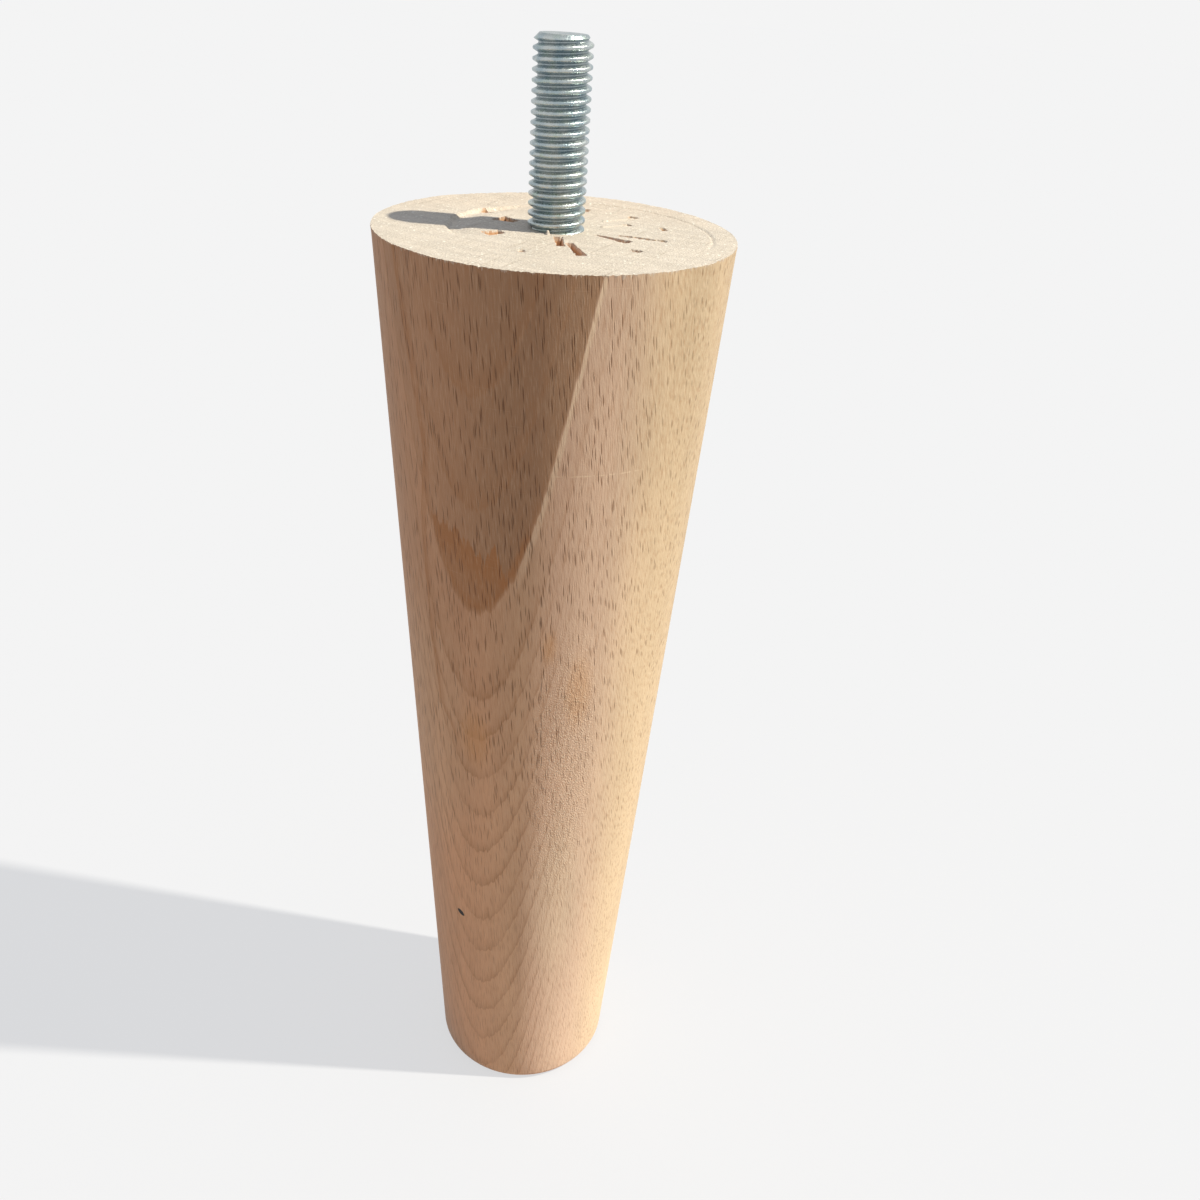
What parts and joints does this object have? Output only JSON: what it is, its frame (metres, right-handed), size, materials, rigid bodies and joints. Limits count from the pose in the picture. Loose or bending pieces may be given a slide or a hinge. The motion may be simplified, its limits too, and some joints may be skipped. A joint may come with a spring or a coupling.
{
  "type": "tapered furniture leg",
  "caption": "Tapered round wooden furniture leg, turned from beech, with a threaded hanger bolt in its top end for screwing it into a seat frame, table or cabinet.",
  "frame": {"origin": "centre of the foot, on the plane that the leg stands on", "axes": "+Z along the leg from the foot to the bolt; the leg is round, so X and Y are free"},
  "size_m": [0.0492, 0.0492, 0.1787],
  "materials": {
    "beech": "raw sanded beech, unfinished",
    "zinc_steel": "bright zinc plating"
  },
  "bodies": {
    "root": {"turned_leg": "beech", "hanger_bolt": "zinc_steel"}
  },
  "joints": []
}
